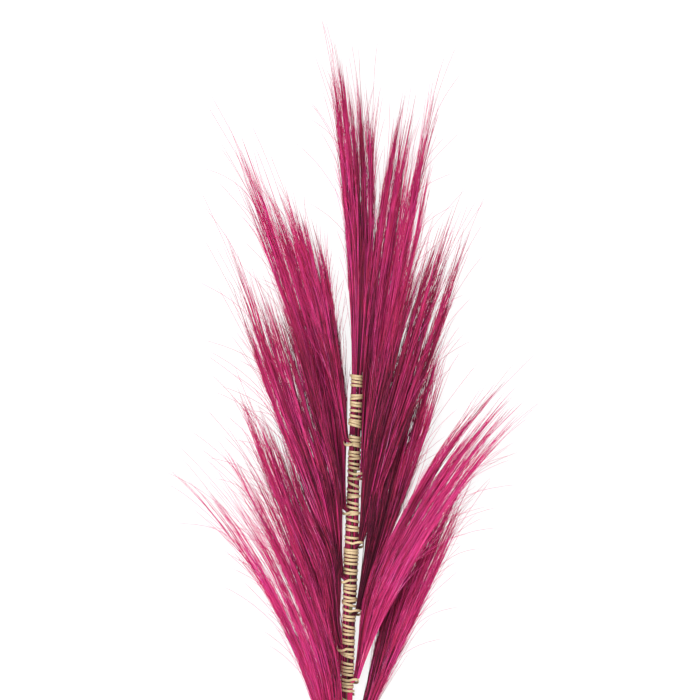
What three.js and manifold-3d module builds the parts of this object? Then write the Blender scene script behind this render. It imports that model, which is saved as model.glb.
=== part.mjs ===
// A branch-shaped bundle of dyed dried grass, lying on its back on a table.
//
// A natural reed stick runs up the middle. Tufts of fine magenta grass are tied to it one above
// another, left and right in turn, and one more tuft carries on past its top. Each tuft is a bunch
// of stalks: its butt lies along the stick, its neck comes out sideways and its tips fan outwards.
// Three lengths of split cane, wound in a helix round the stick and the butts, hold it all together,
// and at each tuft one turn of the cane swings out round the neck as a small ear.
//
// Millimetres, +Z up. The stem runs along +Y from the cut end of the stick to the tips, +X is the
// right-hand side seen from above, and the origin is the middle of the bundle's footprint.
import * as THREE from "three";
import Module from "manifold-3d";
import { mergeVertices } from "three/addons/utils/BufferGeometryUtils.js";

const wasm = await Module();
wasm.setup();

// ---- Driving dimensions. "Along" is measured up the stem from the cut end of the stick. ----
const GAP = 0.35; // kept between neighbouring solids
const SLIVER = 0.02; // edges shorter than this are closed up after joining solids

const STICK_LENGTH = 732;
const STICK_RADIUS = 3.4;
const STICK_NODES = [52, 176]; // joints of the reed on the bare stretch below the binding
const STICK_NODE = { swell: 0.5, reach: 7, ridge: 1.2, groove: 0.2 };
const STICK_CHAMFER = 0.8;
const STICK_SIDES = 16;

const BINDING_TOP = 754;
const BINDING_BOTTOM = 248;
const STRIP_COUNT = 3;
const STRIP_WIDTH = 2.9;
const STRIP_THICKNESS = 0.85;
const STRIP_STEPS_PER_TURN = 8;
const STRIP_JOIN_GAP = 3.9; // along the stem, from one strip's last middle to the next one's first

const JOINT_TOP = 683; // where the uppermost side tuft comes out
const JOINT_PITCH = 36; // from a tuft on one side to the next on the other
const TURNS_PER_JOINT = 7.5; // a whole number and a half, so that a turn always meets the neck
const BUTT_RADIUS = 5.4; // outside of the stalks that lie along the stick
const BINDING_SLACK = 0.7; // between those stalks and the turns round them
const HELIX_RADIUS = BUTT_RADIUS + BINDING_SLACK + STRIP_THICKNESS / 2;
const EAR_REACH = 6.2; // how far the ear swings out past the other turns
const EAR_FLARE = 0.75; // how much of that reach it has an eighth of a turn to each side
// The stem's axis above the table: it lies on the lower corners of its ears
const STEM_HEIGHT = (HELIX_RADIUS + EAR_FLARE * EAR_REACH + STRIP_THICKNESS / 2) * Math.SQRT1_2;
const HELIX_PITCH = JOINT_PITCH / TURNS_PER_JOINT;

// The neck of a side tuft, just clear of the turn above its ear, and that of the top tuft
const NECK = { halfWidth: 2.6, halfHeight: 3.8, rise: 4.1 };
const TOP_NECK = { halfWidth: BUTT_RADIUS, halfHeight: BUTT_RADIUS };
const NECK_BLEND = 0.55; // how far the butt has turned into the neck inside the ear

// How thick a fan is and how its layers lie on each other
const FAN_HALF_HEIGHT = 7;
const TABLE_GAP = 0.8;
const LAYER_STEP = 2 * FAN_HALF_HEIGHT + 1.2;

// Shares of a fan's length from its neck
const CURVE_HANDLE = 0.36; // length of the handles that bend its middle line
const LAYER_REACHED = 0.25; // it lies at its layer's height from here on
const FULL_THICKNESS = 0.5;
const FULL_WIDTH = 0.72;

// The body of a fan is dense up to a share of its length, and its pointed locks run on to the tips
const BODY_ROUNDING = 0.45; // where it starts to close
const BODY_END = 0.78;
const BODY_END_SIZE = 0.1; // what is left of its width and thickness there
const BODY_STATIONS = 7;
const LOCK_ROOT = 0.42;
const LOCK_ROOT_WIDTH = 0.36; // half-width at its root, as a share of the fan's
const LOCK_ROOT_HEIGHT = 0.62;
const LOCK_TAPER = 0.7; // below 1, a lock stays thick for longer and then comes to its point
const LOCK_STATIONS = 4;
const LOCK_POINT = 0.9; // half-thickness of a lock at its very tip
const LOCK_OFFSETS = [0.75, 1.12]; // how much of its offset a lock has at its root and at its tip

// offset: across the fan, as a share of its half-width, positive outwards; reach: how far the lock
// gets, as a share of the length; lift: of its tip, as a share of the fan's half-height.
const LOCKS = [
  { offset: -0.74, reach: 0.87, lift: -0.25 },
  { offset: -0.36, reach: 0.97, lift: 0.2 },
  { offset: 0.02, reach: 0.91, lift: -0.1 },
  { offset: 0.4, reach: 1.0, lift: -0.3 },
  { offset: 0.78, reach: 0.84, lift: 0.15 },
];

const ARC_POINTS = 6; // points on each half of a section
const LOCK_POINTS = 3; // the same for a lock
const TOP_TUFT_FOOT = 652; // where the top tuft's longest stalks end, on the right of the stick
const TOP_TUFT_LEFT_FOOT = 690;
const CUT_SPARE = 2; // how far a cutting block runs past what it cuts
const BUTT_SPACING = 3; // from one tuft's neck to the end of the next butt above it
const LAST_BUTT_INSET = 9; // how far inside the binding the lowest butts end

const LEFT = -1;
const RIGHT = 1;

// Side tufts from the top down. length: neck to tip, straight; lean: of that line, in degrees away
// from the stem; bend: how much further the tip leans than the neck; halfWidth: of the fan at its
// widest; layer: 0 lies on the table, and each further one lies on the one below it.
const SIDE_TUFTS = [
  { name: "left_1", side: LEFT, length: 295, lean: 9.8, bend: 4, halfWidth: 16, layer: 1, dye: "deep" },
  { name: "right_1", side: RIGHT, length: 400, lean: 6.4, bend: 2, halfWidth: 21, layer: 0, dye: "bright" },
  { name: "left_2", side: LEFT, length: 430, lean: 17.2, bend: 8, halfWidth: 22, layer: 0, dye: "bright" },
  { name: "right_2", side: RIGHT, length: 366, lean: 12.6, bend: 3, halfWidth: 23, layer: 2, dye: "bright" },
  { name: "left_3", side: LEFT, length: 376, lean: 18.6, bend: 6, halfWidth: 22, layer: 2, dye: "deep" },
  { name: "right_3", side: RIGHT, length: 325, lean: 12.9, bend: 0, halfWidth: 21, layer: 1, dye: "deep" },
  { name: "left_4", side: LEFT, length: 320, lean: 19.5, bend: 6, halfWidth: 20, layer: 1, dye: "deep" },
  { name: "right_4", side: RIGHT, length: 356, lean: 27.5, bend: 14, halfWidth: 22, layer: 2, dye: "bright" },
  { name: "left_5", side: LEFT, length: 352, lean: 21.5, bend: 12, halfWidth: 21, layer: 0, dye: "deep" },
  { name: "right_5", side: RIGHT, length: 325, lean: 18.2, bend: 3, halfWidth: 21, layer: 0, dye: "deep" },
  { name: "left_6", side: LEFT, length: 395, lean: 27.5, bend: 21, halfWidth: 24, layer: 2, dye: "bright" },
];
const TOP_TUFT = { side: LEFT, length: 352, lean: 4.6, bend: 7, halfWidth: 17, layer: 0 };

const MATERIALS = {
  bright: new THREE.MeshStandardMaterial({ color: 0xb8246a, roughness: 0.75, metalness: 0 }),
  deep: new THREE.MeshStandardMaterial({ color: 0x7a1a48, roughness: 0.8, metalness: 0 }),
  cane: new THREE.MeshStandardMaterial({ color: 0xc9ad6d, roughness: 0.55, metalness: 0 }),
  reed: new THREE.MeshStandardMaterial({ color: 0x9a8d62, roughness: 0.7, metalness: 0 }),
};

// ---- Small helpers ----
const smoothstep = (low, high, t) => THREE.MathUtils.smoothstep(t, low, high);
const mix = THREE.MathUtils.lerp;
const radians = THREE.MathUtils.degToRad;

// How far along the stem the side tuft of that rank comes out
const jointAlong = (rank) => JOINT_TOP - rank * JOINT_PITCH;

// Six times the volume inside a closed indexed surface, negative if its faces point inwards
function signedVolume(points, triangles) {
  let sum = 0;
  for (const [a, b, c] of triangles) {
    sum += points[a].dot(new THREE.Vector3().crossVectors(points[b], points[c]));
  }
  return sum;
}

// A closed solid through a row of sections. Each section lists its outer half and then its inner
// half backwards, so the two ends close as strips between the halves.
function loft(sections) {
  const count = sections[0].length;
  const points = sections.flat();
  const triangles = [];
  for (let s = 0; s + 1 < sections.length; s += 1) {
    for (let i = 0; i < count; i += 1) {
      const a = s * count + i;
      const b = s * count + ((i + 1) % count);
      triangles.push([a, b, b + count], [a, b + count, a + count]);
    }
  }
  const last = (sections.length - 1) * count;
  for (let i = 0; i + 1 < count / 2; i += 1) {
    const j = count - 1 - i;
    triangles.push([i, j, j - 1], [i, j - 1, i + 1]);
    triangles.push([last + i, last + j - 1, last + j], [last + i, last + i + 1, last + j - 1]);
  }
  const inwards = signedVolume(points, triangles) < 0;
  const index = triangles.flatMap(([a, b, c]) => (inwards ? [a, c, b] : [a, b, c]));
  const geometry = new THREE.BufferGeometry().setFromPoints(points);
  geometry.setIndex(index);
  geometry.computeVertexNormals();
  return geometry;
}

// A three.js geometry as a manifold-3d solid, and back
function toSolid(geometry) {
  const bare = geometry.clone();
  bare.deleteAttribute("normal");
  bare.deleteAttribute("uv");
  const merged = mergeVertices(bare, 1e-4);
  return new wasm.Manifold(
    new wasm.Mesh({
      numProp: 3,
      vertProperties: merged.attributes.position.array,
      triVerts: new Uint32Array(merged.index.array),
    }),
  );
}

function toGeometry(solid) {
  const mesh = solid.getMesh();
  const geometry = new THREE.BufferGeometry();
  geometry.setAttribute("position", new THREE.BufferAttribute(mesh.vertProperties, 3));
  geometry.setIndex(new THREE.BufferAttribute(mesh.triVerts, 1));
  geometry.computeVertexNormals();
  return geometry;
}

// ---- Sections, as [outwards, upwards] pairs from the stem's axis ----

// Half of the ring of stalks round the stick, on the side that faces outwards
function buttSection() {
  const outer = [];
  const inner = [];
  for (let i = 0; i < ARC_POINTS; i += 1) {
    const share = mix(1, -1, i / (ARC_POINTS - 1));
    const reach = Math.PI / 2 - Math.asin(GAP / 2 / STICK_RADIUS);
    const angle = share * reach;
    const hollow = STICK_RADIUS + GAP;
    outer.push([BUTT_RADIUS * Math.cos(angle), BUTT_RADIUS * Math.sin(angle)]);
    inner.push([hollow * Math.cos(angle), hollow * Math.sin(angle)]);
  }
  return [...outer, ...inner.reverse()];
}

// An ellipse centred that far out, with that many points on each half
function ellipseSection(centre, halfWidth, halfHeight, halfCount) {
  const points = [];
  for (let i = 0; i < 2 * halfCount; i += 1) {
    const angle = Math.PI / 2 - ((i + 0.5) / halfCount) * Math.PI;
    points.push([centre + halfWidth * Math.cos(angle), halfHeight * Math.sin(angle)]);
  }
  return points;
}

const blendSections = (a, b, t) => a.map((p, i) => [mix(p[0], b[i][0], t), mix(p[1], b[i][1], t)]);

// A section stood square to the stem at that distance along it
const placeOnStem = (section, side, along) =>
  section.map(([out, up]) => new THREE.Vector3(side * out, along, STEM_HEIGHT + up));

// ---- Tufts ----

// Half-width of a fan's opening at share t of its length
function fanSpread(tuft, t) {
  const neck = tuft === TOP_TUFT ? TOP_NECK : NECK;
  return mix(neck.halfWidth, tuft.halfWidth, smoothstep(0, FULL_WIDTH, t));
}

// Half-sizes of the dense body there: it thickens from the neck, then rounds off among its locks
function bodyHalfSizes(tuft, t) {
  const neck = tuft === TOP_TUFT ? TOP_NECK : NECK;
  const past = Math.max(0, (t - BODY_ROUNDING) / (BODY_END - BODY_ROUNDING));
  const close = mix(BODY_END_SIZE, 1, Math.sqrt(Math.max(0, 1 - past * past)));
  const height = mix(neck.halfHeight, FAN_HALF_HEIGHT, smoothstep(0, FULL_THICKNESS, t));
  return { width: fanSpread(tuft, t) * close, height: height * close };
}

// The middle line of a fan in plan: a cubic curve from its neck to its tips
function fanLine(tuft, start) {
  const direction = (degrees) =>
    new THREE.Vector3(tuft.side * Math.sin(radians(degrees)), Math.cos(radians(degrees)), 0);
  const reach = tuft.length * CURVE_HANDLE;
  const end = start.clone().addScaledVector(direction(tuft.lean), tuft.length);
  return new THREE.CubicBezierCurve3(
    start,
    start.clone().addScaledVector(direction(tuft.lean - tuft.bend), reach),
    end.clone().addScaledVector(direction(tuft.lean + tuft.bend), -reach),
    end,
  );
}

// A section stood square to that line at share t, out across the fan and up from its layer
function placeOnFan(section, tuft, line, t, offset, lift) {
  const ahead = line.getTangent(t);
  const across = new THREE.Vector3(tuft.side * ahead.y, -tuft.side * ahead.x, 0).normalize();
  const layer = TABLE_GAP + FAN_HALF_HEIGHT + tuft.layer * LAYER_STEP;
  const middle = line.getPoint(t).addScaledVector(across, offset);
  middle.z = mix(STEM_HEIGHT, layer, smoothstep(0, LAYER_REACHED, t)) + lift;
  return section.map(([out, up]) =>
    middle.clone().addScaledVector(across, out).add(new THREE.Vector3(0, 0, up)),
  );
}

function bodySections(tuft, line) {
  const sections = [];
  for (let i = 1; i <= BODY_STATIONS; i += 1) {
    const t = (BODY_END * i) / BODY_STATIONS;
    const { width, height } = bodyHalfSizes(tuft, t);
    sections.push(placeOnFan(ellipseSection(0, width, height, ARC_POINTS), tuft, line, t, 0, 0));
  }
  return sections;
}

// One pointed lock, rooted inside the body
function lockSections(tuft, line, lock) {
  const sections = [];
  for (let i = 0; i <= LOCK_STATIONS; i += 1) {
    const share = i / LOCK_STATIONS;
    const t = mix(LOCK_ROOT, lock.reach, share);
    const taper = (1 - share) ** LOCK_TAPER;
    const width = mix(LOCK_POINT, tuft.halfWidth * LOCK_ROOT_WIDTH, taper);
    const height = mix(LOCK_POINT, FAN_HALF_HEIGHT * LOCK_ROOT_HEIGHT, taper);
    const offset = lock.offset * fanSpread(tuft, t) * mix(...LOCK_OFFSETS, share);
    const lift = lock.lift * FAN_HALF_HEIGHT * share;
    const section = ellipseSection(0, width, height, LOCK_POINTS);
    sections.push(placeOnFan(section, tuft, line, t, offset, lift));
  }
  return sections;
}

// A whole tuft: the sections of its butt and neck carried on into its fan, and its locks
function tuftSolid(tuft, start, rootSections) {
  const line = fanLine(tuft, start);
  const locks = LOCKS.map((lock) => toSolid(loft(lockSections(tuft, line, lock))));
  const body = toSolid(loft([...rootSections, ...bodySections(tuft, line)]));
  return wasm.Manifold.union([body, ...locks]).simplify(SLIVER);
}

// A side tuft: its butt under the binding, its neck inside the ear, and its fan
function sideTuft(tuft, rank) {
  const along = jointAlong(rank);
  const nextOnSide = along - 2 * JOINT_PITCH + NECK.rise + BUTT_SPACING;
  const foot = rank + 2 < SIDE_TUFTS.length ? nextOnSide : BINDING_BOTTOM + LAST_BUTT_INSET;
  const butt = buttSection();
  const neckCentre = HELIX_RADIUS + STRIP_THICKNESS / 2 + GAP + NECK.halfWidth;
  const neck = ellipseSection(neckCentre, NECK.halfWidth, NECK.halfHeight, ARC_POINTS);
  const turnEdge = HELIX_PITCH - STRIP_WIDTH / 2 - GAP;
  const start = new THREE.Vector3(tuft.side * neckCentre, along + NECK.rise, STEM_HEIGHT);
  return toGeometry(
    tuftSolid(tuft, start, [
      placeOnStem(butt, tuft.side, foot),
      placeOnStem(butt, tuft.side, along - turnEdge),
      placeOnStem(blendSections(butt, neck, NECK_BLEND), tuft.side, along),
      placeOnStem(neck, tuft.side, along + turnEdge - GAP),
    ]),
  );
}

// The top tuft: a round shank that takes the stick's end, and its fan. Below the highest side tuft
// its stalks lie on the right of the stick only.
function topTuft() {
  const shank = ellipseSection(0, BUTT_RADIUS, BUTT_RADIUS, ARC_POINTS);
  const start = new THREE.Vector3(0, BINDING_TOP, STEM_HEIGHT);
  const whole = tuftSolid(TOP_TUFT, start, [
    placeOnStem(shank, TOP_TUFT.side, TOP_TUFT_FOOT),
    placeOnStem(shank, TOP_TUFT.side, BINDING_TOP),
  ]);
  const bore = new THREE.CylinderGeometry(STICK_RADIUS + GAP, STICK_RADIUS + GAP, STICK_LENGTH, STICK_SIDES);
  bore.translate(0, STICK_LENGTH / 2 + GAP, STEM_HEIGHT);
  const height = TOP_TUFT_LEFT_FOOT - TOP_TUFT_FOOT + CUT_SPARE;
  const leftBelow = new THREE.BoxGeometry(2 * BUTT_RADIUS, height, 4 * BUTT_RADIUS);
  leftBelow.translate(GAP - BUTT_RADIUS, TOP_TUFT_LEFT_FOOT - height / 2, STEM_HEIGHT);
  return toGeometry(whole.subtract(toSolid(bore)).subtract(toSolid(leftBelow)));
}

// ---- Split cane binding ----

// How far out the strip's middle runs. The half turn that meets a tuft's neck swings out round it.
function helixRadius(along) {
  let swing = 0;
  SIDE_TUFTS.forEach((tuft, rank) => {
    const eighthsOff = (8 * Math.abs(along - jointAlong(rank))) / HELIX_PITCH;
    if (eighthsOff < 2) swing = 1 - (1 - EAR_FLARE) * eighthsOff ** 2;
  });
  return HELIX_RADIUS + EAR_REACH * swing;
}

// One strip, wound upwards between two heights, in steps that put a corner on every tuft's joint
function bindingStrip(bottom, top) {
  const step = HELIX_PITCH / STRIP_STEPS_PER_TURN;
  const datum = jointAlong(1); // where the strip crosses the right-hand side
  const sections = [];
  for (let i = Math.ceil((bottom - datum) / step); i <= (top - datum) / step; i += 1) {
    const along = datum + i * step;
    const angle = (i / STRIP_STEPS_PER_TURN) * 2 * Math.PI;
    const radius = helixRadius(along);
    const corner = (out, up) =>
      new THREE.Vector3(
        (radius + out) * Math.cos(angle),
        along + up,
        STEM_HEIGHT + (radius + out) * Math.sin(angle),
      );
    const o = STRIP_THICKNESS / 2;
    const w = STRIP_WIDTH / 2;
    sections.push([corner(o, -w), corner(o, w), corner(-o, w), corner(-o, -w)]);
  }
  return loft(sections);
}

// ---- Stick ----

// The reed: a turned cane with two swollen joints on its bare stretch and slightly broken edges
function stick() {
  const profile = [new THREE.Vector2(0, 0), new THREE.Vector2(STICK_RADIUS - STICK_CHAMFER, 0)];
  profile.push(new THREE.Vector2(STICK_RADIUS, STICK_CHAMFER));
  const { swell, reach, ridge, groove } = STICK_NODE;
  for (const node of STICK_NODES) {
    profile.push(
      new THREE.Vector2(STICK_RADIUS, node - reach),
      new THREE.Vector2(STICK_RADIUS + swell, node - ridge),
      new THREE.Vector2(STICK_RADIUS - groove, node),
      new THREE.Vector2(STICK_RADIUS + swell, node + ridge),
      new THREE.Vector2(STICK_RADIUS, node + reach),
    );
  }
  profile.push(
    new THREE.Vector2(STICK_RADIUS, STICK_LENGTH - STICK_CHAMFER),
    new THREE.Vector2(STICK_RADIUS - STICK_CHAMFER, STICK_LENGTH),
    new THREE.Vector2(0, STICK_LENGTH),
  );
  return new THREE.LatheGeometry(profile, STICK_SIDES).translate(0, 0, STEM_HEIGHT);
}

// ---- The bundle ----
const stem = new THREE.Group();

function add(name, geometry, material) {
  const mesh = new THREE.Mesh(geometry, material);
  mesh.name = name;
  stem.add(mesh);
}

add("reed_stick", stick(), MATERIALS.reed);
add("tuft_top", topTuft(), MATERIALS.deep);
SIDE_TUFTS.forEach((tuft, rank) => {
  add(`tuft_${tuft.name}`, sideTuft(tuft, rank), MATERIALS[tuft.dye]);
});
const stripSpan = (BINDING_TOP - BINDING_BOTTOM) / STRIP_COUNT;
for (let i = 0; i < STRIP_COUNT; i += 1) {
  const top = BINDING_TOP - i * stripSpan - STRIP_WIDTH / 2;
  const strip = bindingStrip(top - stripSpan + STRIP_JOIN_GAP, top);
  add(`binding_strip_${i + 1}`, strip, MATERIALS.cane);
}

// The origin goes to the middle of the footprint, at table height
const bundle = new THREE.Group();
bundle.add(stem);
const box = new THREE.Box3().setFromObject(bundle);
const middle = box.getCenter(new THREE.Vector3());
stem.position.set(-middle.x, -middle.y, -box.min.z);

export default bundle;
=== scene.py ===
"""A branch of dyed dried grass, lying on a pale floor and seen from straight above.

A reed stick carries twelve tufts of very fine magenta stems, tied on with split cane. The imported
CAD model gives the place and size of every piece, and this script grows the stems, winds the cane
and dresses them. Lengths are in millimetres until a mesh is placed in the row frame, in metres.
"""

from __future__ import annotations

import logging
import math
from dataclasses import dataclass, field
from enum import Enum

import bpy
import numpy as np
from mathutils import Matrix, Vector

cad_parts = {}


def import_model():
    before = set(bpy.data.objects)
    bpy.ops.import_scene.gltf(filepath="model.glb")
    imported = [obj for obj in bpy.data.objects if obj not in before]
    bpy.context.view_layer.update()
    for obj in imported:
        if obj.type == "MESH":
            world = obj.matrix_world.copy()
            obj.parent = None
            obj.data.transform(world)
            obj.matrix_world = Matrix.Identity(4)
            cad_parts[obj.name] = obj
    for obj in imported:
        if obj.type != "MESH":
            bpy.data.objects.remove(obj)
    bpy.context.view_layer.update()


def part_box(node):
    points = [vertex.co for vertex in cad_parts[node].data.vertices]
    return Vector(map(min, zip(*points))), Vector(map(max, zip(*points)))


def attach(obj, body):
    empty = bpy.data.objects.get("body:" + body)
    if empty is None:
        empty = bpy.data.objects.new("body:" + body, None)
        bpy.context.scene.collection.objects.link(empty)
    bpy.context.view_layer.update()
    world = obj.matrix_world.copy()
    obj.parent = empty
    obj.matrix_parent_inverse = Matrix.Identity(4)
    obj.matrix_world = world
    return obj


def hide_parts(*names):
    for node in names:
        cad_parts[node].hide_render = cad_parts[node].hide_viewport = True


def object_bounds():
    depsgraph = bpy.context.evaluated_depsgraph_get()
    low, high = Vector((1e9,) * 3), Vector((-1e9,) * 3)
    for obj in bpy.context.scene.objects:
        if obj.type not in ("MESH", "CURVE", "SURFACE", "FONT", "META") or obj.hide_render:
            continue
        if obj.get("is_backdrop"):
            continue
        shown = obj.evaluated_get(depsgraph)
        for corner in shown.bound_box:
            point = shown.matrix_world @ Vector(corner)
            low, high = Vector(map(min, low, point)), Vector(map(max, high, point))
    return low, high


LOG = logging.getLogger("grass_branch")
MM = 0.001
BODY = "root"
BAKE_MAP = "OFBake"
STRAND_MAP_WIDTH = 1 / 200  # how much of the map's width one stem takes

FIRST_JOINT = 683.0  # along the stem, where the uppermost side tuft comes out
JOINT_PITCH = 36.0  # from a tuft on one side to the next on the other
FAN_HALF_HEIGHT = 7.0
FLOOR_GAP = 0.8  # under the lowest layer of fans
LAYER_STEP = 2 * FAN_HALF_HEIGHT + 1.2  # from one layer of fans to the next
TAIL_STATIONS = 4
NECK_OUT = 9.9  # from the stem's axis to the middle of a side tuft's neck
NECK_HALF = (3.0, 4.2)  # a side tuft's neck, half across and half up
TOP_NECK_HALF = (5.2, 5.2)
STRIP_INSET = 1.4  # from a packed strip's lower end to the middle of the cane
LOWEST_STEM = 0.35  # how near the floor a stem's middle line comes
LOWEST_SURFACE = 0.05  # the same for the surface of the cane and the reed
FENCE_SPARE = 0.008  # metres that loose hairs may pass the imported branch's box by
FENCE_SHARE = 0.03  # and the share of the box's size that they may pass it by as well

Array = np.ndarray
Colour = tuple[float, float, float]


def smoothstep(low: float, high: float, value: Array) -> Array:
    """Eases from 0 at low to 1 at high: 3t^2 - 2t^3 of the clamped share t between them."""
    t = np.clip((value - low) / (high - low), 0.0, 1.0)
    return t * t * (3.0 - 2.0 * t)


def mix(a: Array | float, b: Array | float, t: Array | float) -> Array:
    """The straight blend a + (b - a) t."""
    return a + (b - a) * t


def unit(vectors: Array) -> Array:
    """Each vector of the last axis divided by its length."""
    return vectors / np.maximum(np.linalg.norm(vectors, axis=-1, keepdims=True), 1e-9)


# ---------------------------------------------------------------- meshes


@dataclass
class MeshArrays:
    """The arrays of one closed mesh: corners of its quads first, then of its triangles."""

    vertices: Array
    quads: Array
    triangles: Array
    quad_uv: Array
    triangle_uv: Array

    @classmethod
    def joined(cls, parts: list[MeshArrays]) -> MeshArrays:
        """Several meshes in one, with each part's corner numbers moved past the parts before it.

        Args:
            parts: the meshes to join, in order.

        Returns:
            One mesh that holds them all.
        """
        starts = np.cumsum([0] + [len(p.vertices) for p in parts[:-1]])
        return cls(
            np.concatenate([p.vertices for p in parts]),
            np.concatenate([p.quads + s for p, s in zip(parts, starts)]),
            np.concatenate([p.triangles + s for p, s in zip(parts, starts)]),
            np.concatenate([p.quad_uv for p in parts]),
            np.concatenate([p.triangle_uv for p in parts]),
        )

    def to_object(self, name: str) -> bpy.types.Object:
        """Makes the Blender object, smooth shaded, with its UV map.

        Args:
            name: name of the object and its mesh.

        Returns:
            The object, linked to the scene, with its place in its mesh.
        """
        mesh = bpy.data.meshes.new(name)
        corners = np.concatenate([self.quads.ravel(), self.triangles.ravel()])
        quads, triangles = len(self.quads), len(self.triangles)
        starts = np.concatenate([np.arange(quads) * 4, quads * 4 + np.arange(triangles) * 3])
        mesh.vertices.add(len(self.vertices))
        mesh.vertices.foreach_set("co", self.vertices.astype(np.float32).ravel())
        mesh.loops.add(len(corners))
        mesh.loops.foreach_set("vertex_index", corners.astype(np.int32))
        mesh.polygons.add(len(starts))
        mesh.polygons.foreach_set("loop_start", starts.astype(np.int32))
        mesh.update(calc_edges=True)
        uv = np.concatenate([self.quad_uv.reshape(-1, 2), self.triangle_uv.reshape(-1, 2)])
        mesh.uv_layers.new(name=BAKE_MAP).uv.foreach_set("vector", uv.astype(np.float32).ravel())
        mesh.validate()
        mesh.shade_smooth()
        piece = bpy.data.objects.new(name, mesh)
        bpy.context.scene.collection.objects.link(piece)
        return piece


def quad_corners(u_low: Array, u_high: Array, v_low: Array, v_high: Array) -> Array:
    """Where the corners of quads lie in the map, in the order in which a quad lists them.

    Args:
        u_low: u where each quad starts.
        u_high: u where it ends.
        v_low: v where it starts.
        v_high: v where it ends. The four arrays are stretched to one shape.

    Returns:
        The corners, shaped (..., 4, 2).
    """
    ua, ub, va, vb = np.broadcast_arrays(u_low, u_high, v_low, v_high)
    return np.stack([np.stack(pair, -1) for pair in ((ua, va), (ua, vb), (ub, vb), (ub, va))], -2)


def tube(rings: Array) -> MeshArrays:
    """A closed tube through rings of points, ended by a fan of triangles at each end.

    The surface is rings[s, k], where s runs along the path and k runs round it, anticlockwise for
    someone who looks along the path.

    Args:
        rings: points, shaped (stations, round, 3).

    Returns:
        The mesh, with v along the tube and u round it.
    """
    stations, around = rings.shape[:2]
    k = np.arange(around)
    after = (k + 1) % around
    row = (np.arange(stations - 1) * around)[:, None]
    quads = np.stack([row + k, row + k + around, row + after + around, row + after], -1)
    first, last = stations * around, stations * around + 1
    end = (stations - 1) * around
    caps = np.concatenate(
        [
            np.stack([k, after, np.full(around, first)], -1),
            np.stack([end + after, end + k, np.full(around, last)], -1),
        ]
    )
    u = np.arange(around + 1) / around
    v = np.arange(stations) / (stations - 1)
    ua, ub = u[:-1], u[1:]
    quad_uv = quad_corners(ua, ub, v[:-1, None], v[1:, None])
    inset = 0.5 * (v[1] - v[0])
    mid = (ua + ub) / 2
    flat = np.zeros(around)
    cap_uv = np.concatenate(
        [
            np.stack([np.stack([a, flat + end_v], -1) for a, end_v in corners], 1)
            for corners in (
                ((ua, 0.0), (ub, 0.0), (mid, inset)),
                ((ub, 1.0), (ua, 1.0), (mid, 1.0 - inset)),
            )
        ]
    )
    vertices = np.concatenate([rings.reshape(-1, 3), rings[:1].mean(1), rings[-1:].mean(1)])
    return MeshArrays(vertices, quads.reshape(-1, 4), caps, quad_uv.reshape(-1, 4, 2), cap_uv)


def strands(centres: Array, radii: Array, tones: Array, spins: Array, bounds: Array) -> MeshArrays:
    """Many fine three-sided stems, each tapering to a point, as one mesh.

    Corner k of a stem at station s is centre + radius (cos a side + sin a up), where
    a = spin + 2 pi k / 3, and side and up stand square to the stem. The last station is its point.

    Args:
        centres: middle lines, shaped (stems, stations, 3).
        radii: half-thicknesses, shaped (stems, stations); the last one isn't used.
        tones: each stem's tone from 0 to 1, which is its place across the map.
        spins: each stem's turn about its own middle line, in radians.
        bounds: lowest and highest v of each stem, shaped (stems, 2).

    Returns:
        The mesh. In its map, u is the stem's tone and v runs along it.
    """
    count, stations = centres.shape[:2]
    along = unit(np.gradient(centres, axis=1))
    side = unit(np.cross(along, np.array([0.0, 0.0, 1.0])))
    up = np.cross(side, along)
    angle = spins[:, None] + 2 * np.pi * np.arange(3) / 3
    swing = np.cos(angle)[:, None, :, None] * side[:, :-1, None]
    swing = swing + np.sin(angle)[:, None, :, None] * up[:, :-1, None]
    rings = centres[:, :-1, None] + radii[:, :-1, None, None] * swing
    per_stem = 3 * (stations - 1) + 1
    vertices = np.concatenate([rings.reshape(count, -1, 3), centres[:, -1:]], axis=1)

    k = np.arange(3)
    after = (k + 1) % 3
    base = (np.arange(count) * per_stem)[:, None, None]
    row = base + (np.arange(stations - 2) * 3)[None, :, None]
    quads = np.stack([row + k, row + k + 3, row + after + 3, row + after], -1)
    last = base[:, 0] + 3 * (stations - 2)
    point = np.broadcast_to(last + 3, (count, 3))
    tips = np.stack([last + k, point, last + after], -1)
    roots = base[:, 0] + np.arange(3)

    u = tones[:, None] * (1 - STRAND_MAP_WIDTH) + STRAND_MAP_WIDTH * np.arange(4) / 3
    v = mix(bounds[:, :1], bounds[:, 1:], np.arange(stations) / (stations - 1))
    quad_uv = quad_corners(u[:, None, :-1], u[:, None, 1:], v[:, :-2, None], v[:, 1:-1, None])
    flat = np.zeros((count, 3))
    low, high = v[:, -2:-1] + flat, v[:, -1:] + flat
    ua, ub = u[:, :-1], u[:, 1:]
    tip_uv = np.stack(
        [np.stack([ua, low], -1), np.stack([(ua + ub) / 2, high], -1), np.stack([ub, low], -1)], 2
    )
    step = (v[:, 1:2] - v[:, :1]) * np.array([0.0, 0.5, 0.0])
    root_uv = np.stack([u[:, :3], v[:, :1] + step], -1)
    return MeshArrays(
        vertices.reshape(-1, 3),
        quads.reshape(-1, 4),
        np.concatenate([tips.reshape(-1, 3), roots]),
        quad_uv.reshape(-1, 4, 2),
        np.concatenate([tip_uv.reshape(-1, 3, 2), root_uv]),
    )


# ---------------------------------------------------------------- finishes


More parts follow.
